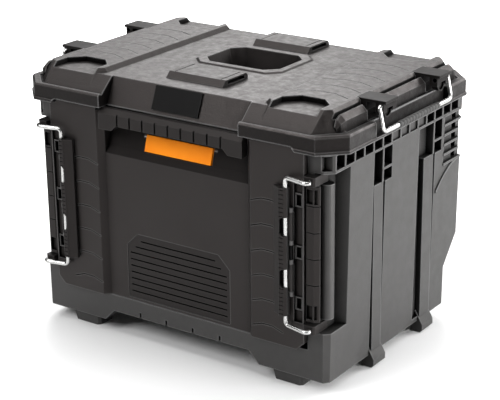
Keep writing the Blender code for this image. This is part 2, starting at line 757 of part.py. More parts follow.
def add_side_bead(cover, side):
    """A rounded rail beside the land with a groove between the two and eased ends."""
    inner = SIDE_BEAD_X - SIDE_BEAD_W
    top = RIM_TOP + SIDE_BEAD_H
    y0 = depth(SIDE_BEAD_END)
    y1 = BACK - SIDE_BEAD_END
    x = sorted((side * (inner - SIDE_LINE_W), side * inner))
    cut(cover, box("line", (x[0], y0, top - SIDE_LINE_W), (x[1], y1, LAND_TOP + OVER)))
    profile = [(inner, RIM_TOP), (inner, top), (inner + SIDE_BEAD_W / 4, top + RIM_BEAD),
               (SIDE_BEAD_X - RIM_LIP / 2, top - SIDE_BEAD_W / 2), (SIDE_BEAD_X, RIM_TOP - RIM_LIP),
               (inner, RIM_TOP - RIM_LIP)]
    foot = RIM_TOP - RIM_LIP
    ease = SIDE_BEAD_W
    rings = []
    for y, size in ((y0, 0.4), (y0 + ease / 3, 0.8), (y0 + ease, 1.0),
                    (y1 - ease, 1.0), (y1 - ease / 3, 0.8), (y1, 0.4)):
        rings.append([(side * (inner + size * (a - inner)), y, foot + size * (b - foot)) for a, b in profile])
    fuse(cover, loft("rail", rings))


def bracket_box(side, end, grow):
    """Low and high corners of one handle bracket, grown by a clearance."""
    mid = depth(HANDLE_MID) + end * BRACKET_SPAN
    x = sorted((side * (HALF - BRACKET_IN - grow), side * (HALF + BRACKET_REACH + grow)))
    low = (x[0], mid - BRACKET_W / 2 - grow, LAND_TOP - BRACKET_H - grow)
    high = (x[1], mid + BRACKET_W / 2 + grow, LAND_TOP + grow)
    return low, high


def make_plate(mat):
    low = PLATE_LOW
    high = PLATE_LOW + PLATE_H
    run = setback_line(high) - setback_line(low)
    length = math.hypot(run, PLATE_H)
    out_y = -PLATE_H / length
    out_z = run / length
    profile = []
    for z, lift in ((low, GAP), (high, GAP), (high, GAP + PLATE_T), (low, GAP + PLATE_T)):
        profile.append((depth(setback_line(z)) + out_y * lift, z + out_z * lift))
    return finish(prism("plate", "x", profile, -PLATE_HALF, PLATE_HALF), "name_plate", mat)


def make_cleat(name, front, mat):
    y0 = depth(front)
    y1 = y0 + CLEAT_LEN
    foot = PLATEAU + GAP
    top = PLATEAU + CLEAT_H
    profile = [(y0, foot), (y0 + CLEAT_H, top), (y1 - CLEAT_H / 2, top), (y1, top - CLEAT_H / 2), (y1, foot)]
    cleat = prism("cleat", "x", profile, -CLEAT_HALF, CLEAT_HALF)
    for side in (-1, 1):
        x = sorted((side * (CLEAT_HALF - 2 * CLEAT_BAR), side * (CLEAT_HALF + CLEAT_BAR)))
        low = foot + CLEAT_SLOT / 3
        cut(cleat, box("slot", (x[0], y0 + CLEAT_H + CLEAT_SLOT, low),
                       (x[1], y1 - CLEAT_H, low + CLEAT_SLOT)))
        line = sorted((side * (CLEAT_HALF - CLEAT_BAR), side * (CLEAT_HALF - CLEAT_BAR + SCALE_W)))
        cut(cleat, box("line", (line[0], y0 + CLEAT_H, top - SCALE_DEPTH),
                       (line[1], y1 + CLEAT_H, top + CLEAT_H)))
    return finish(cleat, name, mat)


def pivot_point(side):
    return side * (HALF + BRACKET_REACH - PIVOT_IN), LAND_TOP - PIVOT_DROP


def tongue_outline(mid, top, low, radius):
    """Straight sides down from top to low, then a half circle below, in the plane along the side."""
    outline = [(mid + radius, top), (mid - radius, top)]
    for i in range(13):
        turn = math.pi * (1 + i / 12)
        outline.append((mid + radius * math.cos(turn), low + radius * math.sin(turn)))
    return outline


def make_bracket(side, end, name, mat):
    """A block with an overhanging roof, a rounded tongue with a pocket, and a bore for the wire."""
    low, high = bracket_box(side, end, 0.0)
    block = box("block", low, high)
    eave = high[2] - BRACKET_ROOF
    face = HALF + BRACKET_REACH
    x = sorted((side * (HALF - BRACKET_IN), side * (face + ROOF_OUT)))
    fuse(block, box("roof", (x[0], low[1], eave), (x[1], high[1], high[2])))
    mid = (low[1] + high[1]) / 2
    x = sorted((side * (HALF - HANDLE_BAY / 2 - TONGUE_DEPTH), side * HALF))
    outline = tongue_outline(mid, eave - GAP, low[2], TONGUE_R)
    fuse(block, prism("tongue", "x", outline, x[0], x[1]))
    px, pz = pivot_point(side)
    bore = circle(px, pz, hole_radius(HANDLE_WIRE, RUN))
    x = sorted((side * (face - TONGUE_DEPTH), side * (face + OVER)))
    outline = tongue_outline(mid, pz - HANDLE_WIRE - TONGUE_EDGE / 2, low[2], TONGUE_R - TONGUE_EDGE)
    cut(block, prism("pocket", "x", outline, x[0], x[1]))
    x = sorted((side * (HALF - HANDLE_BAY), side * (HALF - HANDLE_BAY - TUNNEL_W)))
    cut(block, box("tunnel", (x[0], low[1] - OVER, low[2] - OVER), (x[1], high[1] + OVER, eave)))
    cut(block, prism("bore", "y", bore, low[1] - BRACKET_W, high[1] + BRACKET_W))
    return finish(block, name, mat)


def handle_points(side):
    """Centre line of one swinging side handle at rest."""
    px, pz = pivot_point(side)
    mid = depth(HANDLE_MID)
    leg = BRACKET_SPAN + BRACKET_W / 2 + HANDLE_WIRE + SLIDE_GAP
    root = BRACKET_SPAN - BRACKET_W / 4
    bx = px + side * HANDLE_OUT
    bz = pz - HANDLE_DROP
    return [(px, mid - root, pz), (px, mid - leg, pz), (bx, mid - leg, bz),
            (bx, mid + leg, bz), (px, mid + leg, pz), (px, mid + root, pz)]


def make_handle(side, tag, metal, grip_mat):
    points = handle_points(side)
    tight = HANDLE_WIRE + SLIDE_GAP / 2
    first = round_path(points[:3], tight)
    middle = round_path(points[1:5], HANDLE_BEND)
    last = round_path(points[3:], tight)
    path = first[:-1] + middle[1:-1] + last[1:]
    wire = finish(tube("wire", path, HANDLE_WIRE), "handle_wire_" + tag, metal)
    px, pz = pivot_point(side)
    mid = depth(HANDLE_MID)
    set_origin(wire, (px, mid, pz))
    bx = points[2][0]
    bz = points[2][2]
    rings = []
    outer = HANDLE_WIRE + GRIP_WALL
    for i in range(2 * GRIP_RINGS + 1):
        y = mid - GRIP_HALF + GRIP_HALF * i / GRIP_RINGS
        radius = outer - (SLIDE_GAP if i % 2 else 0.0)
        rings.append([(x, y, z) for x, z in circle(bx, bz, radius, 16)])
    grip = loft("grip", rings)
    bore = circle(bx, bz, hole_radius(HANDLE_WIRE, GAP, 16), 16)
    cut(grip, prism("bore", "y", bore, mid - 2 * GRIP_HALF, mid + 2 * GRIP_HALF))
    finish(grip, "handle_grip_" + tag, grip_mat)
    set_origin(grip, (px, mid, pz))


def pad_outline(grow):
    half = PAD_HALF + grow
    low = PAD_LOW - grow
    high = PAD_LOW + PAD_H + grow
    return [(-half, low), (half, low), (half, high - PAD_CUT), (half - PAD_CUT, high),
            (PAD_CUT - half, high), (-half, high - PAD_CUT)]


def paddle_frame():
    """Start point, up-slope and outward directions of the recess floor, as (y, z)."""
    start = Vector((depth(PANEL_FRONT + SINK_MID_DEPTH), SINK_MID))
    end = Vector((depth(PANEL_FRONT + SINK_BACK), SINK_TOP))
    up = (end - start).normalized()
    out = Vector((-up.y, up.x))
    return start + up * PADDLE_START, up, out


def paddle_outline(front, back, below, above):
    foot, up, out = paddle_frame()
    corners = ((-below, front), (PADDLE_LEN + above, front), (PADDLE_LEN + above, back), (-below, back))
    return [tuple(foot + up * a + out * b) for a, b in corners]


def paddle_pivot():
    foot, up, out = paddle_frame()
    inset = PADDLE_PIN_IN
    return foot + up * (PADDLE_LEN - inset) + out * (PADDLE_PROUD - PADDLE_T + inset)


def make_drawer_front(mat):
    over = OVER
    face = depth(COLUMN_FRONT)
    back = depth(PANEL_BACK)
    h = DRAWER_HALF
    outline = [(DRAWER_CUT - h, DRAWER_LOW), (h - DRAWER_CUT, DRAWER_LOW), (h, DRAWER_LOW + DRAWER_CUT),
               (h, DRAWER_TOP), (-h, DRAWER_TOP), (-h, DRAWER_LOW + DRAWER_CUT)]
    front = prism("front", "y", outline, face, back)
    step = PANEL_FRONT - COLUMN_FRONT
    panel = depth(PANEL_FRONT)
    wide = PANEL_HALF + step + over
    sunk = [(-wide, face - over), (wide, face - over), (PANEL_HALF, panel), (-PANEL_HALF, panel)]
    cut(front, prism("sunk", "z", sunk, DRAWER_LOW - over, DRAWER_TOP + over))
    drop = (SINK_MID - SINK_LOW) * step / SINK_MID_DEPTH
    sink = [(panel - step, SINK_LOW - drop), (panel + SINK_MID_DEPTH, SINK_MID),
            (panel + SINK_BACK, SINK_TOP), (panel + SINK_BACK, DRAWER_TOP + over),
            (panel - step, DRAWER_TOP + over)]
    cut(front, prism("sink", "x", sink, -PANEL_HALF, PANEL_HALF))
    cut(front, prism("pad_seat", "y", pad_outline(GAP), panel - step, panel + PAD_T + GAP))
    pocket = paddle_outline(PADDLE_PROUD + PADDLE_ROOM, PADDLE_PROUD - PADDLE_T - PADDLE_ROOM,
                            2 * SLIDE_GAP, 2 * SLIDE_GAP)
    half = PADDLE_HALF + SLIDE_GAP
    cut(front, prism("pocket", "x", pocket, -half, half))
    pivot = paddle_pivot()
    half = PADDLE_HALF + PADDLE_PIN_OVER + GAP
    cut(front, prism("pin_hole", "x", circle(pivot.x, pivot.y, hole_radius(PADDLE_PIN, GAP)), -half, half))
    for side in (-1, 1):
        roof = BODY_TOP + RIM_STEP - SLIDE_GAP - GAP
        outer = RIM_STEP_HALF - SLIDE_GAP
        crest = [(PANEL_HALF + step, DRAWER_TOP - step), (outer + RIM_STEP, DRAWER_TOP - step),
                 (outer + RIM_STEP, DRAWER_TOP), (outer, roof), (PANEL_HALF + step, roof)]
        crest = [(side * x, z) for x, z in crest]
        fuse(front, prism("crest", "y", crest, face, back - SLIDE_GAP))
        add_latch_lugs(front, side)
        for i in range(SCALE_COUNT):
            z = SINK_LOW - (i + 0.5) * (SINK_LOW - DRAWER_LOW) / SCALE_COUNT
            line = chevron(PANEL_HALF + step, LEVER_IN + LEVER_RAMP, z, SCALE_RISE / 2, SCALE_W)
            line = [(side * x, y) for x, y in line]
            cut(front, prism("scale", "y", line, face - over, face + SCALE_DEPTH))
    return finish(front, "drawer_front", mat)


def lug_spans():
    """Height ranges of the drawer's hinge lugs beside the lever's knuckles."""
    spans = []
    for i in range(2):
        low = KNUCKLE_LOW + i * KNUCKLE_PITCH
        spans.append((low - SLIDE_GAP - LUG_H, low - SLIDE_GAP))
        high = low + KNUCKLE_H
        spans.append((high + SLIDE_GAP, high + SLIDE_GAP + LUG_H))
    return spans


def half_round(side, radius, start, turn=math.pi, count=12):
    """Arc of points about the latch hinge, mirrored by side."""
    points = []
    for i in range(count + 1):
        t = start + turn * i / count
        points.append((side * (HINGE_X + radius * math.cos(t)), depth(HINGE_DEPTH) + radius * math.sin(t)))
    return points


def add_latch_lugs(front, side):
    """The sunk latch strip with its framed sockets, and the lugs of the lever's hinge."""
    face = depth(COLUMN_FRONT)
    floor = face + STRIP_DEPTH
    strip_in = HINGE_X + KNUCKLE_R
    strip_out = DRAWER_HALF - SOCKET_WALL
    x = sorted((side * strip_in, side * strip_out))
    z0 = LEVER_LOW - STRIP_OVER
    z1 = LEVER_LOW + LEVER_H + STRIP_OVER
    cut(front, box("strip", (x[0], face - OVER, z0), (x[1], floor, z1)))
    middle = side * (strip_in + strip_out) / 2
    for i in (-1, 0, 1):
        z = LATCH_MID + i * KNUCKLE_PITCH
        wide = SOCKET_W / 2 + SOCKET_WALL
        tall = SOCKET_H / 2 + SOCKET_WALL
        fuse(front, box("frame", (middle - wide, floor - SOCKET_PROUD, z - tall),
                        (middle + wide, floor + SOCKET_WALL, z + tall)))
        cut(front, box("socket", (middle - SOCKET_W / 2, floor - OVER, z - SOCKET_H / 2),
                       (middle + SOCKET_W / 2, floor + STRIP_DEPTH, z + SOCKET_H / 2)))
    for low, high in lug_spans():
        lug = half_round(side, KNUCKLE_R, -math.pi)
        root = face + SOCKET_WALL
        lug += [(side * (HINGE_X + KNUCKLE_R), root), (side * (HINGE_X - KNUCKLE_R), root)]
        fuse(front, prism("lug", "z", lug, low, high))
    spans = lug_spans()
    bore = circle(side * HINGE_X, depth(HINGE_DEPTH), hole_radius(PIN_R, GAP))
    cut(front, prism("bore", "z", bore, spans[0][0] - LUG_H, spans[-1][1] + LUG_H))


def make_bin(mat):
    y0 = depth(PANEL_BACK) + GAP
    y1 = depth(BIN_BACK)
    tray = box("tray", (-BIN_HALF, y0, BIN_LOW), (BIN_HALF, y1, BIN_TOP))
    w = BIN_WALL
    cut(tray, box("inside", (w - BIN_HALF, y0 + w, BIN_LOW + w), (BIN_HALF - w, y1 - w, BIN_TOP + w)))
    return finish(tray, "drawer_bin", mat)


def make_runner(side, tag, runner_mat, rail_mat):
    inner = BIN_HALF + GAP
    outer = inner + RUNNER_W
    x = sorted((side * inner, side * outer))
    half = RUNNER_H / 2
    bar = box("bar", (x[0], depth(RUNNER_FRONT), RUNNER_Z - half),
              (x[1], depth(BIN_BACK) - BIN_WALL, RUNNER_Z + half))
    finish(bar, "drawer_runner_" + tag, runner_mat)
    slot = outer + SLIDE_GAP
    wall = ROOM_HALF - GAP
    lip = outer - RAIL_LIP + SLIDE_GAP
    gap = half + SLIDE_GAP
    full = gap + RAIL_T
    section = [(lip, full), (wall, full), (wall, -full), (lip, -full),
               (lip, -gap), (slot, -gap), (slot, gap), (lip, gap)]
    section = [(side * a, RUNNER_Z + b) for a, b in section]
    rail = prism("rail", "y", section, BODY_Y + POST_DEPTH + BIN_WALL, depth(BIN_BACK))
    finish(rail, "drawer_rail_" + tag, rail_mat)


def make_grip_bar(mat):
    over = OVER
    half = PANEL_HALF - SLIDE_GAP
    top = BODY_TOP + RIM_STEP - 2 * SLIDE_GAP
    y0 = depth(BAR_FRONT)
    y1 = y0 + BAR_T
    rise = BAR_LOW + BAR_RISE
    outline = [(-half, BAR_LOW), (BAR_END - half, BAR_LOW), (BAR_END + BAR_RISE - half, rise),
               (half - BAR_END - BAR_RISE, rise), (half - BAR_END, BAR_LOW), (half, BAR_LOW),
               (half, top), (-half, top)]
    bar = prism("bar", "y", outline, y0 - GAP, y1 - GAP)
    chamfer = [(y0 - over, top - BAR_T / 2), (y0 - GAP, top - BAR_T / 2),
               (y0 + BAR_T / 2, top + GAP), (y0 - over, top + GAP)]
    cut(bar, prism("edge", "x", chamfer, -half - over, half + over))
    for i in range(BAR_RIBS):
        x = (i - (BAR_RIBS - 1) / 2) * 2 * (half - BAR_END) / BAR_RIBS
        groove = [(x - 2 * RIB_CUT, y0 - over), (x + 2 * RIB_CUT, y0 - over),
                  (x + RIB_CUT, y0 - GAP + RIB_CUT), (x - RIB_CUT, y0 - GAP + RIB_CUT)]
        cut(bar, prism("groove", "z", groove, BAR_LOW - over, top + over))
    return finish(bar, "grip_bar", mat)


def make_pad(mat):
    y0 = depth(PANEL_FRONT) + SLIDE_GAP
    y1 = depth(PANEL_FRONT) + PAD_T
    pad = prism("pad", "y", pad_outline(0.0), y0, y1)
    pitch = PAD_H / (PAD_RIBS + 1)
    for i in range(PAD_RIBS):
        z = PAD_LOW + (i + 1) * pitch
        inset = max(0.0, z + pitch - PAD_LOW - PAD_H + PAD_CUT) + PAD_CUT / 4
        half = PAD_HALF - inset
        groove = [(y0 - PAD_T, z - PAD_RIB_CUT), (y0 + PAD_RIB_CUT, z - PAD_RIB_CUT / 2),
                  (y0 + PAD_RIB_CUT, z + PAD_RIB_CUT / 2), (y0 - PAD_T, z + PAD_RIB_CUT)]
        cut(pad, prism("groove", "x", groove, -half, half))
    return finish(pad, "tread_pad", mat)


def make_paddle(mat, steel):
    pivot = paddle_pivot()
    outline = paddle_outline(PADDLE_PROUD, PADDLE_PROUD - PADDLE_T, 0.0, 0.0)
    paddle = prism("paddle", "x", outline, -PADDLE_HALF, PADDLE_HALF)
    bore = circle(pivot.x, pivot.y, hole_radius(PADDLE_PIN, RUN))
    cut(paddle, prism("bore", "x", bore, -2 * PADDLE_HALF, 2 * PADDLE_HALF))
    finish(paddle, "release_paddle", mat)
    set_origin(paddle, (0.0, pivot.x, pivot.y))
    half = PADDLE_HALF + PADDLE_PIN_OVER
    pin = prism("pin", "x", circle(pivot.x, pivot.y, PADDLE_PIN), -half, half)
    finish(pin, "paddle_pin", steel)


def comb(y, z0, z1, count, size):
    """Side outline of a row of V teeth, as (y, z), reaching forward of the surface."""
    pitch = (z1 - z0) / count
    edge = []
    for i in range(count):
        z = z0 + (i + 0.5) * pitch
        edge += [(y - size / 4, z - size), (y + size, z), (y - size / 4, z + size)]
    return [(y - OVER, z0)] + edge + [(y - OVER, z1)]


def make_lever(side, tag, mat, steel):
    y0 = depth(-LEVER_PROUD)
    y1 = y0 + LEVER_T
    z0 = LEVER_LOW
    z1 = LEVER_LOW + LEVER_H
    ease = LEVER_T / 3
    crest = LEVER_IN + LEVER_RAMP
    plan = [(LEVER_IN, y1 - LEVER_LIP), (crest, y0 + SCALE_W), (crest + SCALE_W, y0),
            (LEVER_OUT - ease, y0), (LEVER_OUT, y0 + ease), (LEVER_OUT, y1), (LEVER_IN, y1)]
    plan = [(side * x, y) for x, y in plan]
    lever = prism("lever", "z", plan, z0, z1)
    hinge_y = depth(HINGE_DEPTH)
    for i in range(2):
        low = KNUCKLE_LOW + i * KNUCKLE_PITCH
        knuckle = half_round(side, KNUCKLE_R, -math.pi / 2)
        root = side * (LEVER_OUT - SCALE_W)
        knuckle += [(root, hinge_y + KNUCKLE_R), (root, hinge_y - KNUCKLE_R)]
        fuse(lever, prism("knuckle", "z", knuckle, low, low + KNUCKLE_H))
    x = sorted((side * (crest + SCALE_W), side * (LEVER_OUT + OVER)))
    cut(lever, prism("teeth", "x", comb(y0, z0, z1, LEVER_TEETH, LEVER_TOOTH), *x))
    spans = lug_spans()
    cut(lever, prism("bore", "z", circle(side * HINGE_X, hinge_y, hole_radius(PIN_R, RUN)),
                     spans[0][0] - OVER, spans[-1][1] + OVER))
    bar = circle(side * BAIL_X, depth(BAIL_DEPTH), hole_radius(LATCH_WIRE, RUN))
    cut(lever, prism("bar", "z", bar, z0 - OVER, z1 + OVER))
    tall = WINDOW_H / 2
    for i in range(2):
        mid = KNUCKLE_LOW + KNUCKLE_H / 2 + i * KNUCKLE_PITCH
        inner = BAIL_X - WINDOW_IN
        window = [(LEVER_OUT + OVER, mid - tall), (LEVER_OUT + OVER, mid + tall),
                  (inner + WINDOW_CUT, mid + tall), (inner, mid + tall - WINDOW_CUT),
                  (inner, mid - tall + WINDOW_CUT), (inner + WINDOW_CUT, mid - tall)]
        window = [(side * a, b) for a, b in window]
        cut(lever, prism("window", "y", window, y0 - OVER, depth(BAIL_DEPTH)))
    finish(lever, "latch_lever_" + tag, mat)
    set_origin(lever, (side * HINGE_X, hinge_y, z0))
    pin = prism("pin", "z", circle(side * HINGE_X, hinge_y, PIN_R), spans[0][0], spans[-1][1])
    finish(pin, "latch_pin_" + tag, steel)


def bail_points(side):
    """Centre line of one latch wire, from its upper end round the bar to its lower end."""
    plan = [(LEG_SIDE_X, LEG_SIDE_DEPTH), (LEG_BEND_X, -LEG_FRONT), (BAIL_X, BAIL_DEPTH)]
    high = LEVER_LOW + LEVER_H + BAIL_OVER
    low = LEVER_LOW - BAIL_OVER
    points = [(side * x, depth(y), high) for x, y in plan]
    return points + [(side * x, depth(y), low) for x, y in reversed(plan)]


def make_bail(side, tag, metal):
    bail = tube("bail", round_path(bail_points(side), WIRE_BEND), LATCH_WIRE)
    finish(bail, "latch_wire_" + tag, metal)
    set_origin(bail, (side * BAIL_X, depth(BAIL_DEPTH), LEVER_LOW))


def make_corner(side, tag, mat):
    """The post on the body's front corner and the two keepers that the wire's ends press on."""
    x0 = MOUTH_HALF + GAP
    x1 = x0 + CORNER_POST_W
    y0 = BODY_Y - CORNER_POST_T
    back = BODY_Y - GAP
    ease = CORNER_POST_T / 3
    bevel = CORNER_POST_EASE
    plan = [(x0, back), (x0, y0 + ease), (x0 + ease, y0), (x1 - bevel, y0), (x1, y0 + bevel), (x1, back)]
    low = LATCH_MID - CORNER_POST_H / 2
    high = LATCH_MID + CORNER_POST_H / 2
    post = prism("post", "z", [(side * x, y) for x, y in plan], low, high)
    sunk = x1 - SCALE_DEPTH
    ring = [(x0 - OVER, y0 - OVER), (x1 + OVER, y0 - OVER), (x1 + OVER, BODY_Y + OVER),
            (sunk, BODY_Y + OVER), (sunk, y0 + bevel), (x1 - bevel, y0 + SCALE_DEPTH),
            (x0 - OVER, y0 + SCALE_DEPTH)]
    ring = [(side * x, y) for x, y in ring]
    for i in range(POST_LINES):
        z = LATCH_MID + POST_LINE_SHIFT + (i - (POST_LINES - 1) / 2) * POST_LINE_PITCH
        cut(post, prism("line", "z", ring, z - SCALE_W / 2, z + SCALE_W / 2))
    first = sorted((side * (x0 + ease), side * (x1 - bevel - SCALE_W)))
    second = sorted((side * (x1 - bevel), side * (x1 + OVER)))
    for z in (low + CAP_DEPTH, high - CAP_DEPTH - CAP_H):
        for x in (first, second):
            cut(post, box("cap", (x[0], y0 - OVER, z), (x[1], y0 + CAP_DEPTH, z + CAP_H)))
    finish(post, "corner_post_" + tag, mat)
    nose = RECESS_CUT / 2
    inner = RECESS_X + GAP
    outer = LEG_SIDE_X + KEEPER_OUT
    front = depth(LEG_SIDE_DEPTH) + KEEPER_GAP
    plan = [(x0 + ease, back), (x0 + ease, front), (outer - ease, front), (outer, front + ease),
            (outer, BODY_Y + KEEPER_LEN - ease), (inner, BODY_Y + KEEPER_LEN),
            (inner, BODY_Y + RECESS_CUT - GAP), (inner - nose, back)]
    plan = [(side * x, y) for x, y in plan]
    for end, where in ((-1, "lower"), (1, "upper")):
        z = LATCH_MID + end * (LEVER_H / 2 + BAIL_OVER)
        keeper = prism("keeper", "z", plan, z - KEEPER_H / 2, z + KEEPER_H / 2)
        finish(keeper, "keeper_" + where + "_" + tag, mat)


def build():
    clear_scene()
    charcoal = material("charcoal_plastic", (0.036, 0.034, 0.033), 0.55)
    dark = material("dark_plastic", (0.022, 0.021, 0.021), 0.5)
    zinc = material("zinc_wire", (0.78, 0.78, 0.77), 0.28, 1.0)
    steel = material("steel_pin", (0.35, 0.35, 0.36), 0.4, 1.0)
    dark_steel = material("dark_steel", (0.05, 0.05, 0.052), 0.45, 1.0)
    orange = material("orange_plastic", (1.0, 0.29, 0.012), 0.45)
    gloss = material("plate_gloss", (0.012, 0.012, 0.013), 0.3)
    make_body(charcoal)
    make_cover(charcoal)
    make_plate(gloss)
    make_cleat("front_cleat", CLEAT_FRONT, charcoal)
    make_cleat("rear_cleat", REAR_CLEAT_FRONT, charcoal)
    make_drawer_front(charcoal)
    make_bin(dark)
    make_grip_bar(dark)
    make_pad(dark)
    make_paddle(orange, steel)
    for side, tag in ((1, "r"), (-1, "l")):
        for end, where in ((-1, "front"), (1, "rear")):
            make_bracket(side, end, "handle_bracket_" + where + "_" + tag, dark)
        make_handle(side, tag, zinc, dark)
        make_runner(side, tag, steel, dark)
        make_lever(side, tag, dark, dark_steel)
        make_bail(side, tag, zinc)
        make_corner(side, tag, dark)


build()
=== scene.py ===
# %% [markdown]
# # A stacking toolbox with a front drawer
# The solids of the box are loaded as a frame of named pieces. This lesson dresses them: it gives
# every surface a finish made of nodes, puts finer bent wires and ribbed grips in the place of the
# plain ones, and sets up a camera and soft studio light.

import math

import bpy
import numpy as np
from mathutils import Matrix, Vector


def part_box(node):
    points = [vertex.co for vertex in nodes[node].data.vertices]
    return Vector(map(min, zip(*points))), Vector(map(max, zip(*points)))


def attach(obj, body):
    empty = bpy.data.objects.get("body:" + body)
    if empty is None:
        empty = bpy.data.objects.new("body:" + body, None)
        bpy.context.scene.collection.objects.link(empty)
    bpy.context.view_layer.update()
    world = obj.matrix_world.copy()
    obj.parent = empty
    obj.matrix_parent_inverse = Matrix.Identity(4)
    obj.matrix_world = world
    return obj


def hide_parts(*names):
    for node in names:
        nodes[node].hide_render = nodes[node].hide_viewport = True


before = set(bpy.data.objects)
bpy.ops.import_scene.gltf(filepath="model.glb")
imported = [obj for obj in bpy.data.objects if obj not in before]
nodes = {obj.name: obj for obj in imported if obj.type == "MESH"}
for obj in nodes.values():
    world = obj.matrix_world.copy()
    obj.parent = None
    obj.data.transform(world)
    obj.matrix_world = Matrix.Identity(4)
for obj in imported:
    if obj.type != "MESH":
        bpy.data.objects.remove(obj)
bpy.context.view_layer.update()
print("frame pieces:", len(nodes))

# %% [markdown]
# ## Camera
# The viewpoint was found by fitting the corners of the box to the picture: a long lens from
# the front right and a little above. The rim's front face is the plane that depths are
# measured from, so the camera is placed from that plane.

# %% Camera at the fitted viewpoint
RIM_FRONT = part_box("top_cover")[0][1]
PHOTO_W = 500
SENSOR_MM = 36.0
FOCAL_PX = 1550.0
FAR_CLIP = 20.0
VIEW_AZ = math.radians(35.056)
VIEW_EL = math.radians(20.189)
VIEW_ROLL = math.radians(-0.699)
CAMERA_PLACE = np.array([1.2881, -1.6319 + RIM_FRONT, 1.0095])


def placed(right, up, back, place):
    """A matrix whose columns are three directions and a place."""
    matrix = np.eye(4)
    matrix[:3, 0], matrix[:3, 1], matrix[:3, 2], matrix[:3, 3] = right, up, back, place
    return Matrix(matrix.tolist())


def camera_axes(azimuth, elevation, roll):
    """Right, up and back of a camera turned by azimuth, raised by elevation and then rolled."""
    back = np.array([math.sin(azimuth) * math.cos(elevation),
                     -math.cos(azimuth) * math.cos(elevation), math.sin(elevation)])
    right = np.array([math.cos(azimuth), math.sin(azimuth), 0.0])
    up = np.cross(back, right)
    turned_right = math.cos(roll) * right + math.sin(roll) * up
    turned_up = -math.sin(roll) * right + math.cos(roll) * up
    return turned_right, turned_up, back


camera_data = bpy.data.cameras.new("studio_camera")
camera_data.sensor_fit = "HORIZONTAL"
camera_data.sensor_width = SENSOR_MM
camera_data.lens = FOCAL_PX * SENSOR_MM / PHOTO_W
camera_data.clip_end = FAR_CLIP
camera = bpy.data.objects.new("studio_camera", camera_data)
bpy.context.collection.objects.link(camera)
camera.matrix_world = placed(*camera_axes(VIEW_AZ, VIEW_EL, VIEW_ROLL), CAMERA_PLACE)
bpy.context.scene.camera = camera
print("camera lens:", round(camera_data.lens, 1), "mm")

# %% [markdown]
# ## Floor
# The box stands on a plain pale studio floor. A sheet that curves up behind the box could be
# modelled, but from other sides it would hide the box, so the floor is one wide flat square.

# %% Floor
FLOOR_HALF = 6.0
FLOOR_LINES = 5


def floor_grid(half, count):
    """A flat square: x and y run evenly over the square, z is zero."""
    line = np.linspace(-half, half, count)
    x, y = np.meshgrid(line, line, indexing="ij")
    return np.stack([x, y, np.zeros_like(x)], axis=-1)


def grid_mesh(name, points):
    """A mesh of four-sided faces over a grid of points."""
    rows, columns = points.shape[:2]
    a, b = np.meshgrid(np.arange(rows - 1), np.arange(columns - 1), indexing="ij")
    first = a * columns + b
    quads = np.stack([first, first + columns, first + columns + 1, first + 1], axis=-1)
    mesh = bpy.data.meshes.new(name)
    mesh.from_pydata(points.reshape(-1, 3).tolist(), [], quads.reshape(-1, 4).tolist())
    mesh.update()
    return mesh


floor_mesh = grid_mesh("studio_floor", floor_grid(FLOOR_HALF, FLOOR_LINES))
floor = bpy.data.objects.new("studio_floor", floor_mesh)
bpy.context.collection.objects.link(floor)
print("floor half width:", FLOOR_HALF, "m")

# %% [markdown]
# ## Light
# Black plastic gives back little light of its own, so what it mirrors shows its shape. A single
# broad light could do for a pale box, but here six soft ones are placed by what mirrors them: two
# behind for the lid and the back, one on the right for the side wall, one in front on the left for
# the orange paddle, a weak one above on the left, and a broad one overhead that evens the floor.

# %% Lights
LIGHT_AIM = np.array([0.0, 0.0, 0.2])
SIDE_FROM = [0.0, 1.0, 0.001]


def area_light(name, place, size, power):
    """A square soft light at a place, turned to face the middle of the box."""
    data = bpy.data.lights.new(name, "AREA")
    data.shape = "SQUARE"
    data.size = size
    data.energy = power
    lamp = bpy.data.objects.new(name, data)
    bpy.context.collection.objects.link(lamp)
    back = np.array(place) - LIGHT_AIM
    back = back / np.linalg.norm(back)
    side = np.cross(SIDE_FROM, back)
    side = side / np.linalg.norm(side)
    lamp.matrix_world = placed(side, np.cross(back, side), back, place)


area_light("top_soft", (0.0, 0.1, 2.6), size=2.6, power=52.0)
area_light("back_soft", (-1.9, 2.7, 2.9), size=2.2, power=108.0)
area_light("left_top_soft", (-1.45, -0.45, 2.35), size=1.0, power=6.0)
area_light("right_soft", (2.7, 0.3, 0.55), size=1.1, power=88.0)
area_light("right_back_soft", (1.6, 2.2, 1.6), size=1.4, power=62.0)
area_light("front_soft", (-0.95, -2.4, 2.25), size=1.6, power=66.0)

# %% [markdown]
# The sky is white to the eye, as a lit studio wall is, but it hardly lights the box: a sky that
# lit it from everywhere would wash out the dark hollows.

# %% White sky
WHITE = (1.0, 1.0, 1.0, 1.0)
SKY_LIGHT = 0.04
world = bpy.data.worlds.new("studio_world")
world.use_nodes = True
world_link = world.node_tree.links.new
sky = world.node_tree.nodes["Background"]
sky.inputs["Color"].default_value = WHITE
sky.inputs["Strength"].default_value = SKY_LIGHT
seen_sky = world.node_tree.nodes.new("ShaderNodeBackground")
seen_sky.inputs["Color"].default_value = WHITE
seen_sky.inputs["Strength"].default_value = 1.0
ray = world.node_tree.nodes.new("ShaderNodeLightPath")
either = world.node_tree.nodes.new("ShaderNodeMixShader")
world_link(ray.outputs["Is Camera Ray"], either.inputs["Fac"])
world_link(sky.outputs["Background"], either.inputs[1])
world_link(seen_sky.outputs["Background"], either.inputs[2])
world_link(either.outputs["Shader"], world.node_tree.nodes["World Output"].inputs["Surface"])
bpy.context.scene.world = world
bpy.context.scene.view_settings.view_transform = "Standard"
print("light from the sky:", SKY_LIGHT)

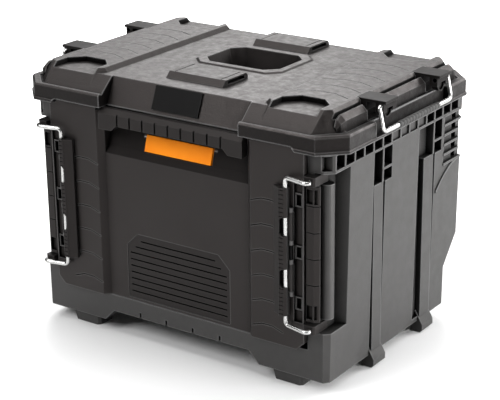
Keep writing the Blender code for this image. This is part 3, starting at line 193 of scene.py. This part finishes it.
# %% [markdown]
# ## Finishes
# Moulded plastic is never one flat colour: it has a fine spark-eroded grain and faint clouds of
# shade from handling. Painted images could show that, but they have to be unwrapped and blur close
# up, so nodes work it out in each piece's own coordinates. A few small helpers keep the node trees
# readable: each one adds a node and hands back the socket to go on from.

# %% Helpers for procedural finishes
# The mix node has sockets of the same name for numbers and colours, so they are told by place.
MIX_SHARE, MIX_FIRST, MIX_SECOND, MIX_RESULT = 0, 6, 7, 2


def put(tree, socket, term):
    """Links a socket to another one, or sets it to a number or colour."""
    if isinstance(term, bpy.types.NodeSocket):
        tree.links.new(term, socket)
    else:
        socket.default_value = term


def worked(tree, operation, *terms):
    """A sum or product of sockets and plain numbers."""
    node = tree.nodes.new("ShaderNodeMath")
    node.operation = operation
    for socket, term in zip(node.inputs, terms):
        put(tree, socket, term)
    return node.outputs["Value"]


def mixed(tree, blend, share, first, second):
    """Two colours mixed or multiplied; share says how much the second one counts."""
    node = tree.nodes.new("ShaderNodeMix")
    node.data_type = "RGBA"
    node.blend_type = blend
    for place, term in ((MIX_SHARE, share), (MIX_FIRST, first), (MIX_SECOND, second)):
        put(tree, node.inputs[place], term)
    return node.outputs[MIX_RESULT]


def ranged(tree, value, span, shares=(0.0, 1.0)):
    """Carries a span of values evenly on to a span of shares, held at both ends."""
    node = tree.nodes.new("ShaderNodeMapRange")
    for name, number in zip(("From Min", "From Max", "To Min", "To Max"), (*span, *shares)):
        node.inputs[name].default_value = number
    tree.links.new(value, node.inputs["Value"])
    return node.outputs["Result"]


def noise(tree, place, scale, detail, roughness):
    """A soft random pattern in the piece's own coordinates; scale is its waves to the metre."""
    node = tree.nodes.new("ShaderNodeTexNoise")
    for name, number in (("Scale", scale), ("Detail", detail), ("Roughness", roughness)):
        node.inputs[name].default_value = number
    tree.links.new(place, node.inputs["Vector"])
    return node.outputs["Fac"]


print("colour sockets of a mix node:", MIX_FIRST, "and", MIX_SECOND)

# %% [markdown]
# The plain finish drifts between two shades by a soft noise. The same noise sets how glossy a place
# is, so that shade and gloss change together as on a handled surface, and a fine noise is the grain.

# %% A finish of two shades with grain
CLOUD_DETAIL, CLOUD_ROUGHNESS = 7.0, 0.62
GRAIN_DETAIL, GRAIN_ROUGHNESS = 3.0, 0.5
GRAIN_DEPTH = 0.0005
SHADE_SPAN = (0.34, 0.68)
GLOSS_SPAN = (0.25, 0.75)


def finish(name, dark, light, rough, metallic=0.0, shine=0.5, cloud=6.0, grain=900.0, bump=0.06):
    """Colour and roughness drift between two values by a large noise; a fine noise gives grain."""
    mat = bpy.data.materials.new(name)
    mat.use_nodes = True
    tree = mat.node_tree
    shader = tree.nodes["Principled BSDF"]
    shader.inputs["Metallic"].default_value = metallic
    shader.inputs["Specular IOR Level"].default_value = shine
    place = tree.nodes.new("ShaderNodeTexCoord").outputs["Object"]
    clouds = noise(tree, place, cloud, CLOUD_DETAIL, CLOUD_ROUGHNESS)
    shades = tree.nodes.new("ShaderNodeValToRGB")
    for stop, where, shade in zip(shades.color_ramp.elements, SHADE_SPAN, (dark, light)):
        stop.position = where
        stop.color = (*shade, 1.0)
    dent = tree.nodes.new("ShaderNodeBump")
    dent.inputs["Strength"].default_value = bump
    dent.inputs["Distance"].default_value = GRAIN_DEPTH
    tree.links.new(clouds, shades.inputs["Fac"])
    tree.links.new(noise(tree, place, grain, GRAIN_DETAIL, GRAIN_ROUGHNESS), dent.inputs["Height"])
    tree.links.new(shades.outputs["Color"], shader.inputs["Base Color"])
    tree.links.new(ranged(tree, clouds, GLOSS_SPAN, rough), shader.inputs["Roughness"])
    tree.links.new(dent.outputs["Normal"], shader.inputs["Normal"])
    return mat


print("grain depth:", GRAIN_DEPTH, "m")

# %% [markdown]
# Marks are set by shape: crests are made lighter, partly as rubbed wear and partly as painted
# highlight, and hollows are made darker and dimmer in reflection as painted shade, and duller.
# Painting that by hand would not follow the mouldings, so it is read from how closed in each point
# is, from outside for hollows and from within for crests.

# %% How open a point is
CLOSENESS_SAMPLES = 5


def closeness(tree, reach, inside):
    """How open a point is within a reach, outside the skin or, for crests, from within it."""
    near = tree.nodes.new("ShaderNodeAmbientOcclusion")
    near.samples = CLOSENESS_SAMPLES
    near.inside = inside
    near.only_local = True
    near.inputs["Distance"].default_value = reach
    return near.outputs["AO"]


print("rays to each point:", CLOSENESS_SAMPLES)

# %% Age and painted light on a finish
CREASE_REACH = 0.0035
CREST_SPREAD = 1.25
CORNER_SAMPLES = 6
HOLLOW_SPAN, HOLLOW_SHARES = (0.36, 0.94), (0.08, 1.0)
CREASE_SPAN, CREASE_SHARES = (0.40, 0.88), (0.15, 1.0)
CREST_SPAN = (0.86, 0.52)
DULLING = 0.42
ALL_ALIKE = (0.0, 1.0), (1.0, 1.0)


def aged_with_painted_light(mat, edge, wear_and_highlight, hollow, stance=ALL_ALIKE, sheen=(1.0, 1.0, 1.0)):
    """Rounds corners by edge, lightens their crests to a pale shade as wear and painted highlight,
    and darkens hollows as painted shade, dimming their reflection and dulling their gloss.

    Edge and hollow are in metres: corners are rounded in the shading only, and a hollow counts
    where it closes within that reach. Small creases always count. Stance gives two steepnesses
    of a face, from upright at 0 to level at 1, and the share of the shine that each keeps,
    as painted shade on its reflection.
    """
    tree = mat.node_tree
    shader = tree.nodes["Principled BSDF"]
    colour, gloss, normal = (shader.inputs[name].links[0].from_socket
                             for name in ("Base Color", "Roughness", "Normal"))
    corner = tree.nodes.new("ShaderNodeBevel")
    corner.samples = CORNER_SAMPLES
    corner.inputs["Radius"].default_value = edge
    tree.links.new(corner.outputs["Normal"], normal.node.inputs["Normal"])
    # Hollows and small creases darken the colour below as painted shade.
    wide = ranged(tree, closeness(tree, hollow, False), HOLLOW_SPAN, HOLLOW_SHARES)
    crease = ranged(tree, closeness(tree, CREASE_REACH, False), CREASE_SPAN, CREASE_SHARES)
    open_part = worked(tree, "MULTIPLY", wide, crease)
    # Crests are lightened to a pale shade, partly as wear and partly as painted highlight.
    crest = ranged(tree, closeness(tree, CREST_SPREAD * edge, True), CREST_SPAN)
    shaded = mixed(tree, "MULTIPLY", 1.0, colour, open_part)
    rubbed_and_highlit = mixed(tree, "MIX", crest, shaded, (wear_and_highlight, wear_and_highlight, wear_and_highlight, 1.0))
    dulled = worked(tree, "MULTIPLY_ADD", open_part, -DULLING, worked(tree, "ADD", gloss, DULLING))
    # Hollows, and by stance some faces such as the lid's standing sides and the drawer's leaning
    # recess, keep less reflection: painted shade on the reflection.
    facing = tree.nodes.new("ShaderNodeSeparateXYZ")
    tree.links.new(tree.nodes.new("ShaderNodeTexCoord").outputs["Normal"], facing.inputs["Vector"])
    painted_reflection_shade = mixed(tree, "MULTIPLY", 1.0, open_part, ranged(tree, facing.outputs["Z"], *stance))
    tinted = mixed(tree, "MULTIPLY", 1.0, painted_reflection_shade, (*sheen, 1.0))
    shader.inputs["Specular Tint"].default_value = (*sheen, 1.0)
    tree.links.new(tinted, shader.inputs["Specular Tint"])
    tree.links.new(rubbed_and_highlit, shader.inputs["Base Color"])
    tree.links.new(dulled, shader.inputs["Roughness"])
    return mat


print("creases count within:", CREASE_REACH, "m")

# %% [markdown]
# The plastics of this box are near black and a little warm, and the tub is greyer. On the lid the
# reflection of the standing sides is dimmed, and on the drawer that of its leaning finger recess,
# as painted shade. One black for all would be simpler, but then the pieces would not stand apart.

# %% The plastics of this box
WARM = (1.0, 0.90, 0.875)
FAINTLY_WARM = (1.0, 0.975, 0.965)
LID_DARK, LID_LIGHT = (0.0042, 0.0037, 0.0035), (0.0085, 0.0076, 0.0073)
LID_GRAIN = {"cloud": 95.0, "grain": 420.0, "bump": 0.45}

# Stance dims the reflection of some faces as painted shade, and the pale crest shade is partly wear
# and partly painted highlight.
lid_black = aged_with_painted_light(finish("lid_moulding", LID_DARK, LID_LIGHT, (0.30, 0.62), shine=0.5, **LID_GRAIN),
                 edge=0.0020, wear_and_highlight=0.16, hollow=0.050,
                 stance=((0.12, 0.35), (0.28, 1.0)), sheen=WARM)
cleat_black = aged_with_painted_light(finish("cleat_moulding", LID_DARK, LID_LIGHT, (0.32, 0.62), shine=0.46,
                          **LID_GRAIN),
                   edge=0.0010, wear_and_highlight=0.03, hollow=0.010,
                   stance=((0.12, 0.35), (0.22, 1.0)), sheen=WARM)
shell_grey = aged_with_painted_light(finish("shell_moulding", (0.022, 0.0215, 0.021), (0.034, 0.0333, 0.0326),
                         (0.34, 0.62), shine=0.46, cloud=45.0, grain=600.0, bump=0.3),
                  edge=0.0016, wear_and_highlight=0.13, hollow=0.036, sheen=FAINTLY_WARM)
drawer_black = aged_with_painted_light(finish("drawer_moulding", (0.0060, 0.0053, 0.0051), (0.0095, 0.0084, 0.0081),
                           (0.42, 0.60), shine=0.38, cloud=14.0, bump=0.2),
                    edge=0.0016, wear_and_highlight=0.085, hollow=0.020,
                    stance=((0.10, 0.26), (1.0, 0.25)), sheen=WARM)
near_black = aged_with_painted_light(finish("near_black_moulding", (0.0045, 0.0041, 0.0040), (0.0080, 0.0073, 0.0071),
                         (0.36, 0.55), shine=0.28, cloud=20.0),
                  edge=0.0012, wear_and_highlight=0.025, hollow=0.016, sheen=WARM)
bracket_black = aged_with_painted_light(finish("bracket_moulding", (0.0030, 0.0028, 0.0027), (0.0055, 0.0050, 0.0048),
                            (0.42, 0.60), shine=0.16, cloud=30.0),
                     edge=0.0010, wear_and_highlight=0.03, hollow=0.014, sheen=WARM)
plate_black = aged_with_painted_light(finish("plate_black", (0.0030, 0.0028, 0.0028), (0.0052, 0.0050, 0.0050),
                          (0.40, 0.55), shine=0.10, cloud=30.0),
                   edge=0.0008, wear_and_highlight=0.03, hollow=0.004)
orange_face = finish("orange_moulding", (0.93, 0.24, 0.006), (1.0, 0.29, 0.008), (0.4, 0.55),
                     shine=0.15, cloud=14.0)
grip_rubber = finish("grip_rubber", (0.020, 0.0195, 0.019), (0.034, 0.033, 0.032), (0.5, 0.7),
                     shine=0.4, cloud=60.0)
print("finishes so far:", len(bpy.data.materials))

# %% [markdown]
# The bails are bright plated wire, the runners and the paddle pin plain steel and the latch pins
# blackened steel. They could each have a node tree of their own, but the same finish serves as
# metal, told apart by shade and gloss. The floor's pale finish is made with them.

# %% Metals and the floor's finish
bright_zinc = finish("bright_zinc", (0.50, 0.50, 0.49), (0.66, 0.66, 0.65), (0.2, 0.34),
                     metallic=1.0, cloud=40.0, bump=0.03)
plain_steel = finish("plain_steel", (0.36, 0.36, 0.37), (0.5, 0.5, 0.5), (0.3, 0.45), metallic=1.0,
                     cloud=30.0)
black_steel = finish("black_steel", (0.009, 0.009, 0.0095), (0.016, 0.016, 0.0165), (0.45, 0.6),
                     metallic=1.0, cloud=30.0)
pale_floor = finish("pale_floor", (0.86, 0.86, 0.86), (0.9, 0.9, 0.9), (0.6, 0.8), cloud=0.4,
                    grain=60.0, bump=0.0)
floor.data.materials.append(pale_floor)
print("finishes:", len(bpy.data.materials))

# %% [markdown]
# A real studio floor curves up into a lit white wall. Here the floor is painted with a glow seen
# only from the camera, growing from a little way out: it stands in for that wall and lightens the
# box's shadow on the floor, and it adds no light of its own to the box.

# %% The floor is painted to glow white
FADE_SPAN = (0.25, 1.4)


def fade_to_white(mat, span):
    """A painted glow, seen only from the camera, grows with the distance from the middle, from none
    to full over the span.
    """
    tree = mat.node_tree
    shader = tree.nodes["Principled BSDF"]
    away = tree.nodes.new("ShaderNodeVectorMath")
    away.operation = "LENGTH"
    tree.links.new(tree.nodes.new("ShaderNodeTexCoord").outputs["Object"], away.inputs[0])
    seen = tree.nodes.new("ShaderNodeLightPath").outputs["Is Camera Ray"]
    # The painted glow also lightens the box's shadow on the floor near the box.
    painted_glow = worked(tree, "MULTIPLY", ranged(tree, away.outputs["Value"], span), seen)
    shader.inputs["Emission Color"].default_value = WHITE
    tree.links.new(painted_glow, shader.inputs["Emission Strength"])


fade_to_white(pale_floor, FADE_SPAN)
print("floor fades over:", FADE_SPAN, "m")

# %% [markdown]
# Each solid keeps its own shape and takes the finish of the real piece: greyer plastic for the
# tub, near black for the lid, drawer and latches, plated wire for the bails, and orange for the
# paddle. Both sides of the box are alike, so one loop dresses the right and the left.


# %% Finishes on the frame pieces
def dress(finish_used, *names):
    """Gives one finish to several frame pieces."""
    for name in names:
        nodes[name].data.materials.clear()
        nodes[name].data.materials.append(finish_used)


dress(lid_black, "top_cover")
dress(cleat_black, "front_cleat", "rear_cleat")
dress(shell_grey, "body_shell")
dress(drawer_black, "drawer_front")
dress(near_black, "drawer_bin", "grip_bar", "tread_pad")
dress(plate_black, "name_plate")
dress(orange_face, "release_paddle")
dress(plain_steel, "paddle_pin")
for tag in ("r", "l"):
    dress(bracket_black, "handle_bracket_front_" + tag, "handle_bracket_rear_" + tag)
    dress(near_black, "handle_grip_" + tag, "drawer_rail_" + tag, "latch_lever_" + tag,
          "corner_post_" + tag, "keeper_upper_" + tag, "keeper_lower_" + tag)
    dress(bright_zinc, "handle_wire_" + tag, "latch_wire_" + tag)
    dress(plain_steel, "drawer_runner_" + tag)
    dress(black_steel, "latch_pin_" + tag)
print("pieces dressed:", sum(len(node.data.materials) for node in nodes.values()))

# %% [markdown]
# ## Wires of the latches and side handles
# On the real box these are bright plated wires bent to shape: each latch has a bail that the
# lever pulls tight, and each side handle is a bail that swings from two brackets. They could be
# bevelled curves, but a round section carried along a route of straight runs and arcs is as
# short to write and gives a closed skin. The routes repeat the solid wires, with finer bends.

# %% A route with rounded corners
BEND_STEPS = 10


def rounded_route(corners, bends):
    """Straight runs joined by arcs: each inner corner is left a bend's reach before and after it.

    On the arc, both arms from its centre are mixed by sines, which turns evenly.
    """
    corners = np.asarray(corners, float)
    bends = np.asarray(bends, float)[:, None]
    before = corners[:-2] - corners[1:-1]
    after = corners[2:] - corners[1:-1]
    before = before / np.linalg.norm(before, axis=1, keepdims=True)
    after = after / np.linalg.norm(after, axis=1, keepdims=True)
    half = np.arccos(np.clip((before * after).sum(1, keepdims=True), -1, 1)) / 2
    middle = before + after
    middle = middle / np.linalg.norm(middle, axis=1, keepdims=True)
    centre = corners[1:-1] + middle * bends / np.sin(half)
    start = corners[1:-1] + before * bends / np.tan(half) - centre
    end = corners[1:-1] + after * bends / np.tan(half) - centre
    sweep = (math.pi - 2 * half)[:, :, None]
    t = np.linspace(0, 1, BEND_STEPS + 1)[None, :, None]
    arcs = start[:, None] * np.sin((1 - t) * sweep) + end[:, None] * np.sin(t * sweep)
    arcs = (arcs / np.sin(sweep) + centre[:, None]).reshape(-1, 3)
    return np.concatenate([corners[:1], arcs, corners[-1:]])


print("steps in each bend:", BEND_STEPS)

# %% A round rod along a route
WIRE_SIDES = 20
DOME_RINGS = 6
DOME_START = 0.02
LEAN_FROM = [0.62, 0.35, 0.70]


def rod_rings(route, radius):
    """Circles square to the route; at each end they shrink along a quarter circle to a dome."""
    ahead = np.diff(route, axis=0)
    ahead = ahead / np.linalg.norm(ahead, axis=1, keepdims=True)
    along = np.concatenate([ahead[:1], ahead[:-1] + ahead[1:], ahead[-1:]])
    along = along / np.linalg.norm(along, axis=1, keepdims=True)
    turn = np.linspace(DOME_START, math.pi / 2, DOME_RINGS)[:, None]
    first = route[0] + along[0] * radius * (1 - np.cos(turn))
    last = route[-1] - along[-1] * radius * (1 - np.cos(turn[::-1]))
    dome = radius * np.sin(turn[:, 0])
    size = np.concatenate([dome, np.full(len(route) - 2, radius), dome[::-1]])
    along = np.concatenate([np.repeat(along[:1], DOME_RINGS, 0), along[1:-1],
                            np.repeat(along[-1:], DOME_RINGS, 0)])
    route = np.concatenate([first, route[1:-1], last])
    lean = np.cross(along, LEAN_FROM)
    lean = lean / np.linalg.norm(lean, axis=1, keepdims=True)
    other = np.cross(along, lean)
    angle = np.linspace(0, 2 * math.pi, WIRE_SIDES, endpoint=False)[None, :, None]
    ring = lean[:, None] * np.cos(angle) + other[:, None] * np.sin(angle)
    return route[:, None] + ring * size[:, None, None]


print("sides of a wire:", WIRE_SIDES)

# %% [markdown]
# A mesh needs faces that all look outward, or light and export treat it as inside out. Blender
# can turn them in edit mode, but the sign of the skin's volume tells the same in one line. Each
# new piece rides on the body of the solid that it stands for, so it moves with the same joint.


# %% A closed skin over rings
def closed_skin(name, rings):
    """A smooth tube skin over a stack of closed rings with a flat cap at each end, turned outward.

    The signed volume of the skin tells which way its faces look.
    """
    count, sides = rings.shape[:2]
    points = rings.reshape(-1, 3)
    i, j = np.meshgrid(np.arange(count - 1), np.arange(sides), indexing="ij")
    k = (j + 1) % sides
    here, ahead = i * sides, (i + 1) * sides
    quads = np.stack([here + j, here + k, ahead + k, ahead + j], axis=-1).reshape(-1, 4)
    a, b, c, d = (points[quads[:, n]] for n in range(4))
    volume = (a * np.cross(b, c)).sum() + (a * np.cross(c, d)).sum()
    first = np.arange(sides)[::-1]
    last = (count - 1) * sides + np.arange(sides)
    faces = quads.tolist() + [first.tolist(), last.tolist()]
    if volume < 0:
        faces = [face[::-1] for face in faces]
    mesh = bpy.data.meshes.new(name)
    mesh.from_pydata(points.tolist(), [], faces)
    mesh.polygons.foreach_set("use_smooth", [True] * len(quads) + [False] * 2)
    mesh.update()
    return mesh


# %% A piece in the place of a solid
BOX_DIGITS = 4


def add_piece(name, mesh, finish_used, body, stands_for):
    """Puts a mesh in the scene with its finish, riding on a body, in place of a solid."""
    piece = bpy.data.objects.new(name, mesh)
    bpy.context.collection.objects.link(piece)
    mesh.materials.append(finish_used)
    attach(piece, body)
    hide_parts(stands_for)
    solid_box = np.round(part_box(stands_for), BOX_DIGITS).tolist()
    print(name, "faces:", len(mesh.polygons), "solid box:", solid_box)


# %% [markdown]
# ### Latch wires
# The bail of a latch is one wire: a long bar that turns in the lever, with an arm at each end that
# reaches out to a keeper and is bent back there. Typing all six corners would do, but the upper
# three are given and mirrored, since the real wire is bent evenly.

# %% Latch wires
LATCH_WIRE_R = 0.0031
LATCH_MID = 0.21105
LATCH_HALF = 0.1085
# Each row: how far out from the middle, and how far behind the rim's front.
LATCH_ROUTE = np.array([[0.2407, 0.0018], [0.2390, -0.0062], [0.1994, 0.0025]])
LATCH_BENDS = [0.006] * 4


def latch_route(side):
    """From one wire end forward, in to the bar, along the bar and back out again."""
    upper = np.column_stack([side * LATCH_ROUTE[:, 0], RIM_FRONT + LATCH_ROUTE[:, 1],
                             np.full(len(LATCH_ROUTE), LATCH_MID + LATCH_HALF)])
    lower = upper[::-1] * [1, 1, 0] + [0, 0, LATCH_MID - LATCH_HALF]
    return np.concatenate([upper, lower])


for tag, side in (("r", 1), ("l", -1)):
    route = rounded_route(latch_route(side), LATCH_BENDS)
    skin = closed_skin("bent_latch_wire_" + tag, rod_rings(route, LATCH_WIRE_R))
    add_piece("bent_latch_wire_" + tag, skin, bright_zinc, "bail_" + tag,
              "latch_wire_" + tag)

# %% [markdown]
# ### Side handle wires
# Each side handle is a wire that turns in two brackets: its roots point at each other inside them,
# its legs hang down and its bar carries the grip. The same rod makes it, along another route.

# %% Side handle wires
HANDLE_WIRE_R = 0.0032
HANDLE_SET_BACK = 0.2075
HANDLE_MID = RIM_FRONT + HANDLE_SET_BACK
# How far out from the middle, and how high.
HANDLE_PIVOT = np.array([0.2805, 0.4032])
HANDLE_LOW = np.array([0.2880, 0.3692])
HANDLE_LEG = 0.0968
HANDLE_ROOT = 0.0675
HANDLE_BENDS = [0.0035, 0.008, 0.008, 0.0035]


def handle_route(side):
    """From inside one bracket out, down the leg, along the grip and back into the other bracket."""
    x = side * np.array([HANDLE_PIVOT[0], HANDLE_PIVOT[0], HANDLE_LOW[0]])
    y = np.array([-HANDLE_ROOT, -HANDLE_LEG, -HANDLE_LEG])
    z = np.array([HANDLE_PIVOT[1], HANDLE_PIVOT[1], HANDLE_LOW[1]])
    near = np.column_stack([x, HANDLE_MID + y, z])
    far = np.column_stack([x, HANDLE_MID - y, z])[::-1]
    return np.concatenate([near, far])


for tag, side in (("r", 1), ("l", -1)):
    route = rounded_route(handle_route(side), HANDLE_BENDS)
    skin = closed_skin("bent_handle_wire_" + tag, rod_rings(route, HANDLE_WIRE_R))
    add_piece("bent_handle_wire_" + tag, skin, bright_zinc, "handle_" + tag,
              "handle_wire_" + tag)

# %% [markdown]
# ## Ribbed handle grips
# A soft black sleeve is moulded over each handle wire, with close rounded ribs so that it does
# not slip in a wet hand. A sleeve whose radius swells and shrinks along its length says this with
# one formula; a stack of rings would only add seams.

# %% Grip sleeves
GRIP_HALF = 0.0575
GRIP_RADIUS = 0.0048
GRIP_RIBS = 14
GRIP_VALLEY = 0.0011
VALLEY_POWER = 6
GRIP_END_DRAW = 0.0005
GRIP_END_SHARE = 0.012
GRIP_SIDES = 28
STEPS_PER_RIB = 8


def grip_rings(side):
    """Radius along the grip: full, less a rounded valley between ribs, and drawn in at the ends."""
    u = np.linspace(0, 1, GRIP_RIBS * STEPS_PER_RIB + 1)
    valley = np.abs(np.cos(math.pi * GRIP_RIBS * u)) ** VALLEY_POWER
    end = 1 - np.clip(np.minimum(u, 1 - u) / GRIP_END_SHARE, 0, 1)
    radius = GRIP_RADIUS - GRIP_VALLEY * valley - GRIP_END_DRAW * end ** 2
    angle = np.linspace(0, 2 * math.pi, GRIP_SIDES, endpoint=False)
    x = side * HANDLE_LOW[0] + radius[:, None] * np.cos(angle)
    z = HANDLE_LOW[1] + radius[:, None] * np.sin(angle)
    y = np.broadcast_to((HANDLE_MID - GRIP_HALF + 2 * GRIP_HALF * u)[:, None], x.shape)
    return np.stack([x, y, z], axis=-1)


for tag, side in (("r", 1), ("l", -1)):
    skin = closed_skin("grip_sleeve_" + tag, grip_rings(side))
    add_piece("grip_sleeve_" + tag, skin, grip_rubber, "handle_" + tag,
              "handle_grip_" + tag)
print("ribs on each grip:", GRIP_RIBS)
